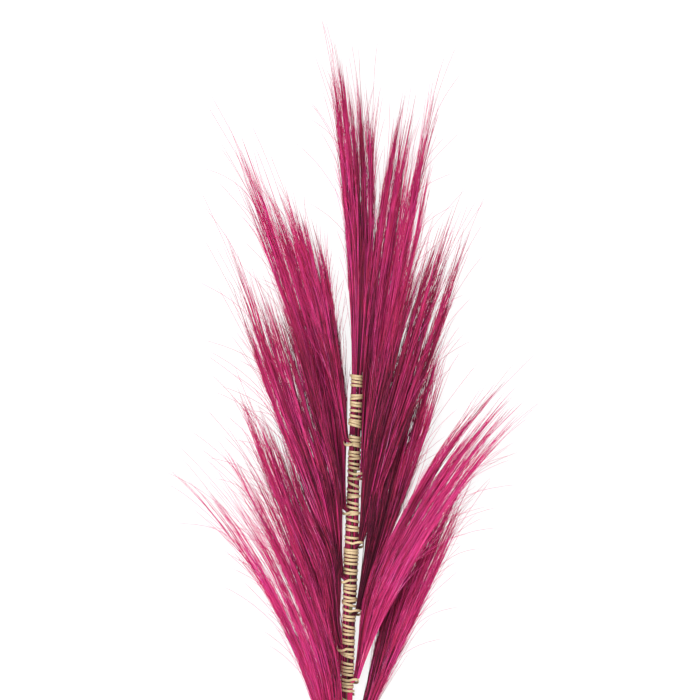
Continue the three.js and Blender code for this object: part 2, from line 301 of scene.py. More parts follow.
class Nodes:
    """Writes a node tree: one method makes a node and sets or links its inputs."""

    def __init__(self, tree: bpy.types.NodeTree) -> None:
        """Takes the tree to write in."""
        self.tree = tree

    def add(self, kind: str, inputs: dict | None = None, **settings) -> bpy.types.Node:
        """Makes a node.

        Args:
            kind: the node's Blender type name.
            inputs: socket name or number to a value, or to the output socket that feeds it.
            settings: the node's own properties.

        Returns:
            The node.
        """
        node = self.tree.nodes.new(kind)
        for key, value in settings.items():
            setattr(node, key, value)
        for key, value in (inputs or {}).items():
            socket = node.inputs[key]
            if isinstance(value, bpy.types.NodeSocket):
                self.tree.links.new(value, socket)
            else:
                socket.default_value = value
        return node

    def ramp(self, factor: bpy.types.NodeSocket, stops: list[tuple[float, Colour]]) -> bpy.types.NodeSocket:
        """A colour that blends between stops.

        Args:
            factor: the socket that drives it.
            stops: place from 0 to 1 and linear colour of each stop, in order.

        Returns:
            The colour socket.
        """
        node = self.add("ShaderNodeValToRGB", {"Fac": factor})
        elements = node.color_ramp.elements
        while len(elements) < len(stops):
            elements.new(1.0)
        for element, (place, colour) in zip(elements, stops):
            element.position = place
            element.color = (*colour, 1.0)
        return node.outputs["Color"]

    def blend(
        self,
        factor: bpy.types.NodeSocket,
        a: bpy.types.NodeSocket | Colour,
        b: bpy.types.NodeSocket | Colour,
        mode: str = "MIX",
    ) -> bpy.types.NodeSocket:
        """Mixes two colours by a factor.

        Args:
            factor: share of b.
            a: first colour, or the socket that gives it.
            b: second colour, or the socket that gives it.
            mode: Blender's blend type.

        Returns:
            The colour socket.
        """
        node = self.add("ShaderNodeMix", data_type="RGBA", blend_type=mode)
        for number, value in ((0, factor), (6, a), (7, b)):
            if isinstance(value, bpy.types.NodeSocket):
                self.tree.links.new(value, node.inputs[number])
            elif isinstance(value, float):
                node.inputs[number].default_value = value
            else:
                node.inputs[number].default_value = (*value, 1.0)
        return node.outputs[2]

    def maths(self, operation: str, *values: bpy.types.NodeSocket | float) -> bpy.types.NodeSocket:
        """One Math node on sockets or numbers."""
        node = self.add("ShaderNodeMath", dict(enumerate(values)), operation=operation)
        return node.outputs[0]

    def ranged(
        self, value: bpy.types.NodeSocket, source: tuple[float, float], target: tuple[float, float]
    ) -> bpy.types.NodeSocket:
        """A value taken straight from one range to another, and kept inside it.

        Args:
            value: the socket to read.
            source: its values that give the target's two ends.
            target: the two ends.

        Returns:
            The value's socket.
        """
        names = ("From Min", "From Max", "To Min", "To Max")
        inputs = {"Value": value, **dict(zip(names, (*source, *target)))}
        return self.add("ShaderNodeMapRange", inputs).outputs["Result"]

    def scaled(self, value: bpy.types.NodeSocket, low: float, high: float) -> bpy.types.NodeSocket:
        """A mask from 0 to 1 taken to the range from low to high."""
        return self.ranged(value, (0.0, 1.0), (low, high))

    def fibres(
        self, place: bpy.types.NodeSocket, fineness: float, runs: float, patches: float
    ) -> tuple[bpy.types.NodeSocket, bpy.types.NodeSocket]:
        """The shared plant fibres, drawn along Y of a place.

        Args:
            place: the socket that gives the place.
            fineness: how often the fibres change across.
            runs: how often they change along.
            patches: scale of the broad blotches.

        Returns:
            The fine mask and the broad one, both from 0 to 1.
        """
        inputs = {"Vector": place, "Fineness": fineness, "Runs": runs, "Patches": patches}
        group = self.add("ShaderNodeGroup", inputs, node_tree=fibre_group())
        return group.outputs["Fibres"], group.outputs["Blotches"]


def fibre_group() -> bpy.types.NodeTree:
    """The shared node group that draws long plant fibres, built once.

    Its Vector runs along the fibres in Y. It stretches a noise by Fineness across and Runs along, and
    lays a broader, slower noise under it. It puts out Fibres, a fine mask, and Blotches, a broad one.

    Returns:
        The group.
    """
    name = "plant_fibres"
    if name in bpy.data.node_groups:
        return bpy.data.node_groups[name]
    tree = bpy.data.node_groups.new(name, "ShaderNodeTree")
    face = tree.interface
    face.new_socket("Vector", in_out="INPUT", socket_type="NodeSocketVector")
    for word, value in (("Fineness", 100.0), ("Runs", 4.0), ("Patches", 6.0)):
        face.new_socket(word, in_out="INPUT", socket_type="NodeSocketFloat").default_value = value
    for word in ("Fibres", "Blotches"):
        face.new_socket(word, in_out="OUTPUT", socket_type="NodeSocketFloat")
    nodes = Nodes(tree)
    given = nodes.add("NodeGroupInput").outputs
    stretch = nodes.add(
        "ShaderNodeCombineXYZ", {"X": given["Fineness"], "Y": given["Runs"], "Z": given["Fineness"]}
    )
    fine = nodes.add(
        "ShaderNodeVectorMath", {0: given["Vector"], 1: stretch.outputs[0]}, operation="MULTIPLY"
    )
    fibres = nodes.add(
        "ShaderNodeTexNoise", {"Vector": fine.outputs[0], "Scale": 1.0, "Detail": 3.0, "Roughness": 0.6}
    )
    blotches = nodes.add(
        "ShaderNodeTexNoise", {"Vector": given["Vector"], "Scale": given["Patches"], "Detail": 2.0}
    )
    out = nodes.add("NodeGroupOutput")
    for word, node in (("Fibres", fibres), ("Blotches", blotches)):
        sharp = nodes.ranged(node.outputs[0], (0.3, 0.7), (0.0, 1.0))
        tree.links.new(sharp, out.inputs[word])
    return tree


def start_material(name: str) -> tuple[bpy.types.Material, Nodes, bpy.types.Node]:
    """A new material with its Principled shader.

    Args:
        name: the material's name.

    Returns:
        The material, a writer for its nodes, and the shader.
    """
    material = bpy.data.materials.new(name)
    material.use_nodes = True
    return material, Nodes(material.node_tree), material.node_tree.nodes["Principled BSDF"]


def link(nodes: Nodes, value: bpy.types.NodeSocket, shader: bpy.types.Node, socket: str) -> None:
    """Feeds one of the shader's sockets."""
    nodes.tree.links.new(value, shader.inputs[socket])


@dataclass(frozen=True)
class DyedGrass:
    """Silky dyed stems: their tone comes from the map's u, and it evens out towards their points."""

    name: str
    shadow: Colour = (0.068, 0.010, 0.024)
    plum: Colour = (0.130, 0.012, 0.041)
    raspberry: Colour = (0.36, 0.024, 0.088)
    magenta: Colour = (0.67, 0.034, 0.195)
    pink: Colour = (0.82, 0.085, 0.36)
    # Painted highlight: the palest stop, which the glint hairs reach and which stands for glints on the
    # stems
    glint: Colour = (0.90, 0.47, 0.66)
    wander: float = 0.14  # how far the tone strays along a stem
    # Partly painted shade and partly deeper dye: the roots darker, where the stems lie deep in the bunch
    root_shade_and_dye: float = -0.28  # what the tone loses at the stem's root
    tip_lightening: float = 0.04  # and what it gains past the middle
    tip_tone: float = 0.6  # the tone that the points come to
    own_tone_left: float = 0.2  # the share of its own tone that a point keeps
    hues: tuple[float, float] = (0.487, 0.52)  # Blender's hue shift, which is none at 0.5
    roughness: float = 0.5

    def build(self) -> bpy.types.Material:
        """Writes the material.

        Returns:
            The material.
        """
        material, nodes, shader = start_material(self.name)
        place = nodes.add("ShaderNodeUVMap", uv_map=BAKE_MAP).outputs["UV"]
        u, v, _ = nodes.add("ShaderNodeSeparateXYZ", {"Vector": place}).outputs
        fine, broad = nodes.fibres(place, fineness=160.0, runs=7.0, patches=9.0)
        wander = nodes.scaled(fine, -self.wander, self.wander)
        # Partly painted shade and partly deeper dye: the tone is lowest at the root, deep in the bunch, and
        # rises past the middle
        shade_and_dye_along = nodes.ranged(v, (0.05, 0.6), (self.root_shade_and_dye, self.tip_lightening))
        tone = nodes.maths("ADD", nodes.maths("ADD", u, wander), shade_and_dye_along)
        evening = nodes.ranged(v, (0.35, 0.8), (1.0, self.own_tone_left))
        spread = nodes.maths("SUBTRACT", tone, self.tip_tone)
        tone = nodes.maths("MULTIPLY_ADD", spread, evening, self.tip_tone)
        dye = nodes.ramp(
            tone,
            [
                (0.0, self.shadow),
                (0.2, self.plum),
                (0.45, self.raspberry),
                (0.68, self.magenta),
                (0.88, self.pink),
                (1.0, self.glint),
            ],
        )
        tint = nodes.add("ShaderNodeHueSaturation", {"Hue": nodes.scaled(broad, *self.hues), "Color": dye})
        link(nodes, tint.outputs["Color"], shader, "Base Color")
        rough = nodes.scaled(broad, self.roughness - 0.08, self.roughness + 0.1)
        link(nodes, rough, shader, "Roughness")
        shader.inputs["Specular IOR Level"].default_value = 0.12
        return material


@dataclass(frozen=True)
class SplitCane:
    """Pale split cane: fibres along the strip, a satin skin, and sides painted darker brown as shade where
    one turn meets the next.
    """

    name: str = "split_cane"
    straw: Colour = (0.80, 0.62, 0.38)
    tan: Colour = (0.46, 0.32, 0.16)
    # Painted shade: the colour that the strip's sides and underside darken to
    edge: Colour = (0.20, 0.125, 0.06)
    runs: float = 60.0  # fibre lengths in one strip

    def build(self) -> bpy.types.Material:
        """Writes the material.

        Returns:
            The material.
        """
        material, nodes, shader = start_material(self.name)
        place = nodes.add("ShaderNodeUVMap", uv_map=BAKE_MAP).outputs["UV"]
        u = nodes.add("ShaderNodeSeparateXYZ", {"Vector": place}).outputs[0]
        fine, broad = nodes.fibres(place, fineness=26.0, runs=self.runs, patches=70.0)
        skin = nodes.blend(fine, self.tan, self.straw)
        skin = nodes.blend(nodes.scaled(broad, 0.0, 0.45), skin, self.tan)
        # The map's u is 0.25 in the middle of the outer face and 0.0 and 0.5 at its two edges
        swing = nodes.maths("SINE", nodes.maths("MULTIPLY", u, 2 * math.pi))
        # Painted shade: the strip darkens towards its two side edges and its underside, where one turn
        # meets the next
        edge = nodes.ranged(swing, (0.75, 0.1), (0.0, 0.8))
        link(nodes, nodes.blend(edge, skin, self.edge), shader, "Base Color")
        link(nodes, nodes.scaled(fine, 0.5, 0.36), shader, "Roughness")
        bump = nodes.add("ShaderNodeBump", {"Height": fine, "Strength": 0.35, "Distance": 0.0004})
        link(nodes, bump.outputs[0], shader, "Normal")
        return material


@dataclass(frozen=True)
class Reed:
    """The stick's natural cane: olive brown with fine grain, dark rings and a pale sawn end."""

    name: str = "reed"
    light: Colour = (0.42, 0.35, 0.16)
    dark: Colour = (0.20, 0.155, 0.06)
    green: Colour = (0.26, 0.27, 0.11)
    ring: Colour = (0.12, 0.085, 0.035)
    pith: Colour = (0.62, 0.52, 0.32)
    ring_fade: tuple[float, float] = (0.0004, 0.0016)  # metres from a joint, where its ring fades out
    nodes_along: tuple[float, ...] = ()  # Y of the reed's joints
    cut_y: float = 0.0  # Y of its sawn end

    def build(self) -> bpy.types.Material:
        """Writes the material. Grain runs along Y of the Object coordinates.

        Returns:
            The material.
        """
        material, nodes, shader = start_material(self.name)
        place = nodes.add("ShaderNodeTexCoord").outputs["Object"]
        fine, broad = nodes.fibres(place, fineness=2600.0, runs=40.0, patches=26.0)
        grain = nodes.blend(fine, self.dark, self.light)
        colour = nodes.blend(nodes.scaled(broad, 0.0, 0.6), grain, self.green)
        along = nodes.add("ShaderNodeSeparateXYZ", {"Vector": place}).outputs[1]
        for node_y in self.nodes_along:
            off = nodes.maths("ABSOLUTE", nodes.maths("SUBTRACT", along, node_y))
            colour = nodes.blend(nodes.ranged(off, self.ring_fade, (0.85, 0.0)), colour, self.ring)
        sawn = nodes.ranged(along, (self.cut_y + 0.0001, self.cut_y + 0.0003), (1.0, 0.0))
        link(nodes, nodes.blend(sawn, colour, self.pith), shader, "Base Color")
        link(nodes, nodes.scaled(fine, 0.6, 0.42), shader, "Roughness")
        bump = nodes.add("ShaderNodeBump", {"Height": fine, "Strength": 0.4, "Distance": 0.0003})
        link(nodes, bump.outputs[0], shader, "Normal")
        return material


@dataclass(frozen=True)
class PaleFloor:
    """The plain pale floor, lit from inside like a light table so that shadows stay faint."""

    name: str = "pale_floor"
    colour: Colour = (0.17, 0.17, 0.17)
    glow: float = 0.84

    def build(self) -> bpy.types.Material:
        """Writes the material.

        Returns:
            The material.
        """
        material, _, shader = start_material(self.name)
        shader.inputs["Base Color"].default_value = (*self.colour, 1.0)
        shader.inputs["Roughness"].default_value = 0.9
        shader.inputs["Specular IOR Level"].default_value = 0.0
        shader.inputs["Emission Color"].default_value = (1.0, 1.0, 1.0, 1.0)
        shader.inputs["Emission Strength"].default_value = self.glow
        return material


# ---------------------------------------------------------------- the stem


@dataclass(frozen=True)
class Stem:
    """Where the stem lies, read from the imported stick. Its own axes are right, along and height."""

    axis_x: float
    axis_height: float  # millimetres above the floor
    cut_y: float
    stick_length: float
    fence: tuple[Array, Array]  # the corners that loose hairs stay within, right and along

    @classmethod
    def from_frame(cls) -> Stem:
        """Reads the stick's box, and the whole branch's box, which gives the fence with some to spare.

        Returns:
            The stem.
        """
        low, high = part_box("reed_stick")
        axis_x = (low.x + high.x) / 2
        corners = np.array([list(corner)[:2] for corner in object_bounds()])
        spare = FENCE_SPARE + FENCE_SHARE * (corners[1] - corners[0])
        corners = (corners + np.array([-spare, spare]) - np.array([axis_x, low.y])) / MM
        return cls(
            axis_x,
            (low.z + high.z) / 2 / MM,
            low.y,
            (high.y - low.y) / MM,
            (corners[0], corners[1]),
        )

    def place(self, points: Array) -> Array:
        """Takes points from right of the axis, along from the cut end and height, to the row frame.

        Args:
            points: in millimetres, shaped (..., 3).

        Returns:
            The same points in metres.
        """
        return points * MM + np.array([self.axis_x, self.cut_y, 0.0])

    def along(self, y: float) -> float:
        """Distance from the cut end, in millimetres, of a place in the row frame."""
        return (y - self.cut_y) / MM


def core_radius(along: Array) -> Array:
    """Half-thickness of the stick with the tails round it, under the binding.

    Args:
        along: millimetres from the cut end.

    Returns:
        Millimetres, in the same shape.
    """
    stations = [248.0, 420.0, 480.0, 520.0, 560.0, 600.0, 640.0, 700.0, 735.0, 760.0]
    radii = [6.5, 6.3, 6.3, 6.7, 7.3, 6.5, 6.0, 5.9, 5.7, 5.5]
    return np.interp(along, stations, radii)


def finish_piece(
    arrays: MeshArrays, stem: Stem, name: str, node: str, material: bpy.types.Material
) -> bpy.types.Object:
    """Makes a piece that stands for a CAD node, and rides on the body.

    Args:
        arrays: its mesh in the stem's millimetres.
        stem: the stem that places it.
        name: the piece's name.
        node: the CAD node that it replaces.
        material: its finish.

    Returns:
        The piece.
    """
    arrays.vertices = stem.place(arrays.vertices)
    piece = arrays.to_object(name)
    piece.data.materials.append(material)
    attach(piece, BODY)
    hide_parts(node)
    LOG.info("%s: %d faces, for %s", name, len(piece.data.polygons), node)
    return piece


# ---------------------------------------------------------------- tufts


class Side(Enum):
    """The side of the stem that a tuft leaves on."""

    LEFT = -1
    RIGHT = 1
    TOP = 0


class Dye(Enum):
    """The two dye baths, named by their material slots."""

    BRIGHT = "bright_grass"
    DEEP = "deep_grass"


@dataclass(frozen=True)
class Fan:
    """The space that a tuft's stems grow through, from its neck to its tips.

    A point in it has a share of the length, a place across from -1 at the inner edge to 1 at the
    outer one, and a lift from -1 at the underside to 1 on top.
    """

    side: int  # -1 on the left, 1 on the right and 0 at the top
    neck_out: float
    neck_along: float
    neck_half: tuple[float, float]  # half-width and half-height
    axis_height: float  # of the neck, above the floor
    length: float
    lean: float  # degrees off the stem, from the neck to the tips
    bend: float  # degrees that the neck leans less by, and the tips more
    half_width: float
    half_height: float
    rest_height: float  # of the fan's middle once it lies in its layer
    hug: float  # how far the foot of the fan leans back to the stem, in millimetres

    @staticmethod
    def _opening(share: Array) -> Array:
        """How far the fan has opened: a quarter of a sine that is fully open at 0.75."""
        return np.sin(0.5 * np.pi * np.clip(share / 0.75, 0.0, 1.0)) ** 1.1

    def _control(self) -> Array:
        """The middle line's cubic Bezier curve.

        Returns:
            Its four control points, in right and along.
        """
        start = np.array([self.neck_out * (self.side or 1), self.neck_along])
        outward = self.side or -1

        def heading(degrees: float) -> Array:
            """Unit vector that many degrees off the stem."""
            angle = math.radians(degrees)
            return np.array([outward * math.sin(angle), math.cos(angle)])

        reach = 0.36 * self.length
        end = start + heading(self.lean) * self.length
        return np.stack(
            [
                start,
                start + heading(self.lean - self.bend) * reach,
                end - heading(self.lean + self.bend) * reach,
                end,
            ]
        )

    def middle(self, share: Array) -> tuple[Array, Array]:
        """The middle line at shares of the length, and its unit heading. It runs on straight past 1.

        Args:
            share: any shape.

        Returns:
            Points and headings, shaped (..., 2).
        """
        t = np.clip(share, 0.0, 1.0)[..., None]
        a, b, c, d = self._control()
        s = 1 - t
        point = a * s**3 + 3 * b * s**2 * t + 3 * c * s * t**2 + d * t**3
        heading = unit((b - a) * s**2 + 2 * (c - b) * s * t + (d - c) * t**2)
        past = np.maximum(share - 1.0, 0.0)[..., None] * self.length
        return point + heading * past, heading

    def place(self, share: Array, across: Array, lift: Array, out: Array | float = 0.0) -> Array:
        """Points of the fan.

        Args:
            share: share of the length.
            across: place across the fan.
            lift: place between its underside and its top.
            out: further millimetres outwards.

        Returns:
            Points in right, along and height, shaped (..., 3).
        """
        point, heading = self.middle(share)
        outward = self.side or -1
        square = np.stack([outward * heading[..., 1], -outward * heading[..., 0]], -1)
        width = mix(self.neck_half[0], self.half_width, self._opening(share))
        foot = np.sin(np.pi * np.clip(share / 0.5, 0.0, 1.0)) ** 2
        out = out - self.hug * foot * (0.8 - 0.8 * across)
        height = mix(self.neck_half[1], self.half_height, smoothstep(0.0, 0.5, share))
        rest = mix(self.axis_height, self.rest_height, smoothstep(0.0, 0.3, share))
        flat = point + square * (across * width + out)[..., None]
        return np.concatenate([flat, (rest + lift * height)[..., None]], -1)


@dataclass(frozen=True)
class Locks:
    """The locks that a fan splits into, and the wisps that each lock ends in."""

    across: Array
    lift: Array
    reach: Array  # the rest are for each wisp, shaped (locks, wisps)
    out: Array
    tone: Array


@dataclass(frozen=True)
class Culms:
    """A tuft's main stems, each with its own place in the fan and its own lock."""

    across: Array
    lift: Array
    lock: Array
    reach: Array
    out: Array
    tone: Array
    sway: Array


@dataclass
class Tuft:
    """One tied bunch of stems: culms from its butt to its tips, fine hairs along them, and strays."""

    node: str
    side: Side
    length: float
    lean: float
    bend: float
    half_width: float
    layer: int
    dye: Dye
    tone: float
    # Painted shade: the inner edge, by the stem where the tufts lie over each other, is made darker and the
    # outer edge lighter
    slope: float = 0.3  # how much lighter the outer edge is than the middle
    joint: float = 0.0  # along the stem, where it comes out
    flare: float = 8.0  # how far an outer culm curls out at its point, in millimetres
    slant: float = 0.2  # how much shorter the inner edge is than the outer one
    hug: float = 3.5  # how far the foot of the fan leans back to the stem, in millimetres
    fullness: float = 0.66  # the share of its lock's reach that the shortest culm has
    seed: int = 7
    culm_count: int = 290
    hair_count: int = 2400
    stray_count: int = 90
    lock_count: int = 9
    wisp_count: int = 4
    culm_radius: tuple[float, float] = (0.36, 0.25)  # at its root and its point
    hair_radius: tuple[float, float] = (0.23, 0.19)
    stray_radius: tuple[float, float] = (0.23, 0.17)
    gather: float = 0.74  # how far a culm has closed in on its lock at its point
    gather_from: float = 0.36  # the share of its length where it starts to
    loose_share: float = 0.1  # of the culms stand out further
    # Painted highlight: this share of the hairs is lifted towards the pale glint colour
    glint_share: float = 0.18  # of the hairs are paler
    neck_rise: float = 4.1
    tail_length: float = 76.0
    stick_clearance: float = 3.7
    fan: Fan = field(init=False)
    fence: tuple[Array, Array] = field(init=False)
    locks: Locks = field(init=False)
    culms: Culms = field(init=False)

    def settle(self, stem: Stem) -> None:
        """Works out the fan from the tuft's layer and the stem.

        Args:
            stem: the stem that the tuft is tied to.
        """
        self.fence = stem.fence
        top = self.side is Side.TOP
        self.fan = Fan(
            side=self.side.value,
            neck_out=0.0 if top else NECK_OUT,
            neck_along=self.joint + (0.0 if top else self.neck_rise),
            neck_half=TOP_NECK_HALF if top else NECK_HALF,
            axis_height=stem.axis_height,
            length=self.length,
            lean=self.lean,
            bend=self.bend,
            half_width=self.half_width,
            half_height=FAN_HALF_HEIGHT,
            rest_height=FLOOR_GAP + FAN_HALF_HEIGHT + self.layer * LAYER_STEP,
            hug=self.hug,
        )

    def grow(self) -> MeshArrays:
        """Grows every stem of the tuft.

        Returns:
            Its mesh, in the stem's millimetres.
        """
        rng = np.random.default_rng(self.seed)
        self.locks = self._choose_locks(rng)
        self.culms = self._choose_culms(rng)
        return MeshArrays.joined([self._grow_culms(rng), self._grow_hairs(rng), self._grow_strays(rng)])

    def _choose_locks(self, rng: np.random.Generator) -> Locks:
        """Picks each lock's place, reach and tone, and how it splits into wisps near its end.

        Args:
            rng: the tuft's random draws.

        Returns:
            The locks.
        """
        count = self.lock_count
        across = np.linspace(-0.9, 0.9, count) + rng.uniform(-0.12, 0.12, count)
        lift = rng.uniform(-0.7, 0.7, count)
        spear = 1.0 - self.slant * (0.5 - 0.5 * across) - 0.1 * across**2
        shape = (count, self.wisp_count)
        reach = (spear * rng.uniform(0.9, 1.08, count))[:, None] * rng.uniform(0.84, 1.02, shape)
        out = (self.flare * np.maximum(across, 0.0) ** 2)[:, None] + rng.normal(0.0, 3.6, shape)
        # Painted shade: a lock's tone falls towards the fan's inner edge, by the stem, and rises towards
        # its outer edge
        tone = self.tone + self.slope * across + rng.normal(0.0, 0.08, count)
        return Locks(across, lift, reach, out, tone[:, None] + rng.normal(0.0, 0.07, shape))

    def _choose_culms(self, rng: np.random.Generator) -> Culms:
        """Scatters the culms evenly over the neck, and gives each to the nearest lock's wisps.

        Args:
            rng: the tuft's random draws.

        Returns:
            The culms.
        """
        count, locks = self.culm_count, self.locks
        across = rng.uniform(-1.0, 1.0, count)
        lift = rng.uniform(-1.0, 1.0, count) * np.sqrt(1.0 - 0.8 * across**2)
        gap = np.abs(across[:, None] - locks.across) + 0.18 * np.abs(lift[:, None] - locks.lift)
        lock = np.argmin(gap, axis=1)
        wisp = rng.integers(0, self.wisp_count, count)
        reach = locks.reach[lock, wisp] * rng.uniform(self.fullness, 1.03, count)
        out = locks.out[lock, wisp] + rng.normal(0.0, 1.6, count)
        loose = rng.uniform(0.0, 1.0, count) < self.loose_share
        out = out + loose * self.flare * rng.exponential(0.7, count) * np.sign(across)
        tone = np.clip(locks.tone[lock, wisp] + rng.normal(0.0, 0.24, count), 0.0, 0.92)
        return Culms(across, lift, lock, reach, out, tone, rng.uniform(0.0, 2 * np.pi, (count, 2)))

    def _culm_points(self, culm: Array, share: Array) -> Array:
        """Where culms run: each keeps its own place in the fan, then gathers into its lock.

        Args:
            culm: numbers of the culms, shaped (n,).
            share: shares of the fan's length, shaped (n, stations).

        Returns:
            Points, shaped (n, stations, 3).
        """
        culms, locks = self.culms, self.locks
        own_share = share / culms.reach[culm][:, None]
        gather = self.gather * smoothstep(self.gather_from, 1.0, own_share)
        lock = culms.lock[culm]
        across = mix(culms.across[culm][:, None], locks.across[lock][:, None], gather)
        lift = mix(culms.lift[culm][:, None], locks.lift[lock][:, None], gather)
        phase = culms.sway[culm]
        across = across + 0.06 * share * np.sin(7 * share + phase[:, :1])
        lift = lift + 0.08 * share * np.sin(6 * share + phase[:, 1:])
        return self.fan.place(share, across, lift, culms.out[culm][:, None] * share**3)

    def _tail_points(self, steps: int) -> Array:
        """The culms' tails: they lie along the stick in a ring, under the binding.

        A side tuft's tail takes up its own side of the ring. The top tuft's goes all the way round,
        and stops short on the left, where the uppermost side tuft lies.

        Args:
            steps: stations from the butt to just below the neck.

        Returns:
            Points, shaped (culms, steps, 3).
        """
        culms = self.culms
        butt = np.full(self.culm_count, self.joint - self.tail_length)
        if self.side is Side.TOP:
            turn = np.arctan2(culms.lift, culms.across)
            depth = np.hypot(culms.across, culms.lift)
            butt = np.where(np.cos(turn) > 0.0, FIRST_JOINT + 8.0, butt)
        else:
            turn = np.radians(mix(-80.0, 84.0, 0.5 + 0.5 * culms.lift))
            depth = 0.5 + 0.5 * culms.across
        along = mix(butt[:, None], self.joint - 2.0, np.linspace(0.0, 1.0, steps))
        depth = np.clip(depth, 0.0, 1.0)[:, None]
        ray = mix(self.stick_clearance, core_radius(along) - 0.2, depth)
        right = (self.side.value or -1) * ray * np.cos(turn)[:, None]
        height = self.fan.axis_height + ray * np.sin(turn)[:, None]
        return np.stack([right, along, height], -1)

    def _grow_culms(self, rng: np.random.Generator) -> MeshArrays:
        """The main stems, each from its butt along the stick to its point.

        Args:
            rng: the tuft's random draws.

        Returns:
            Their mesh.
        """
        count = self.culm_count
        own = np.linspace(0.0, 1.0, 12) ** 1.15
        fan = self._culm_points(np.arange(count), self.culms.reach[:, None] * own)
        centres = np.concatenate([self._tail_points(TAIL_STATIONS), fan], axis=1)
        thickness = np.concatenate([np.zeros(TAIL_STATIONS), own])
        radii = np.broadcast_to(mix(*self.culm_radius, thickness), centres.shape[:2])
        return self._mesh(centres, radii, self.culms.tone, np.tile([0.0, 1.0], (count, 1)), rng)

    def _grow_hairs(self, rng: np.random.Generator) -> MeshArrays:
        """The fine side stems: each leaves its culm at a small angle and runs on past it.

        Args:
            rng: the tuft's random draws.

        Returns:
            Their mesh.
        """
        count = self.hair_count
        culm = rng.integers(0, self.culm_count, count)
        start = self.culms.reach[culm] * rng.uniform(0.04, 0.78, count)
        length = rng.uniform(0.12, 0.34, count)
        own = np.linspace(0.0, 1.0, 7)
        share = start[:, None] + length[:, None] * own
        centres = self._culm_points(culm, share)
        amount = rng.gamma(1.5, 1.9, count) * (0.4 + length * 2.4)
        turn = rng.uniform(0.0, 2 * np.pi, count)
        bow = own**1.5 * amount[:, None]
        _, heading = self.fan.middle(share)
        centres[..., 0] += bow * np.cos(turn)[:, None] * heading[..., 1]
        centres[..., 1] -= bow * np.cos(turn)[:, None] * heading[..., 0]
        centres[..., 2] += bow * np.sin(turn)[:, None] * 0.8
        radii = rng.uniform(0.7, 1.15, count)[:, None] * mix(*self.hair_radius, own)
        # Painted highlight: a share of the hairs is lifted towards the pale glint colour, standing for
        # glints on the stems
        glint = 0.45 * (rng.uniform(0.0, 1.0, count) < self.glint_share)
        tones = np.clip(self.culms.tone[culm] + rng.normal(0.0, 0.2, count), 0.0, 0.9)
        bounds = np.stack([start * 0.6, np.minimum(start + length, 1.0)], -1)
        return self._mesh(centres, radii, np.minimum(tones + glint, 1.0), bounds, rng)

    def _grow_strays(self, rng: np.random.Generator) -> MeshArrays:
        """Long loose hairs that curl away from the fan's edges and tips.

        Args:
            rng: the tuft's random draws.

        Returns:
            Their mesh.
        """
        count, culms = self.stray_count, self.culms
        culm = rng.integers(0, self.culm_count, count)
        start = culms.reach[culm] * rng.uniform(0.3, 0.9, count)
        length = rng.uniform(0.2, 0.42, count)
        own = np.linspace(0.0, 1.0, 11)
        share = start[:, None] + length[:, None] * own
        centres = self._culm_points(culm, share)
        away = np.where(culms.across[culm] > -0.25, 1.0, -1.0) * rng.gamma(1.3, 12.0, count)
        bow = own ** rng.uniform(1.6, 2.6, count)[:, None] * np.clip(away, -18.0, 55.0)[:, None]
        bow = bow + 1.5 * own * np.sin(5.0 * own + 2 * np.pi * rng.uniform(0.0, 1.0, count)[:, None])
        _, heading = self.fan.middle(share)
        outward = self.side.value or -1
        centres[..., 0] += outward * bow * heading[..., 1]
        centres[..., 1] -= outward * bow * heading[..., 0] + 0.25 * np.abs(bow)
        centres[..., 2] += own**2 * rng.normal(0.0, 6.0, count)[:, None]
        radii = np.broadcast_to(mix(*self.stray_radius, own), share.shape)
        tones = np.clip(culms.tone[culm] + 0.1, 0.3, 0.9)
        return self._mesh(centres, radii, tones, np.stack([start * 0.6, np.ones(count)], -1), rng)

    def _mesh(
        self, centres: Array, radii: Array, tones: Array, bounds: Array, rng: np.random.Generator
    ) -> MeshArrays:
        """The stems that stay within the branch's space, with those that dip too low laid on the floor.

        Args:
            centres: middle lines, shaped (stems, stations, 3).
            radii: half-thicknesses, shaped (stems, stations).
            tones: each stem's tone.
            bounds: lowest and highest v of each stem, shaped (stems, 2).
            rng: the tuft's random draws, which turn each stem about its middle line.

        Returns:
            Their mesh.
        """
        spins = rng.uniform(0.0, 2 * np.pi, len(centres))
        flat = centres[..., :2]
        keep = np.all((flat > self.fence[0]) & (flat < self.fence[1]), axis=(1, 2))
        centres[..., 2] = np.maximum(centres[..., 2], LOWEST_STEM)
        return strands(centres[keep], radii[keep], tones[keep], spins[keep], bounds[keep])


# ---------------------------------------------------------------- binding and stick


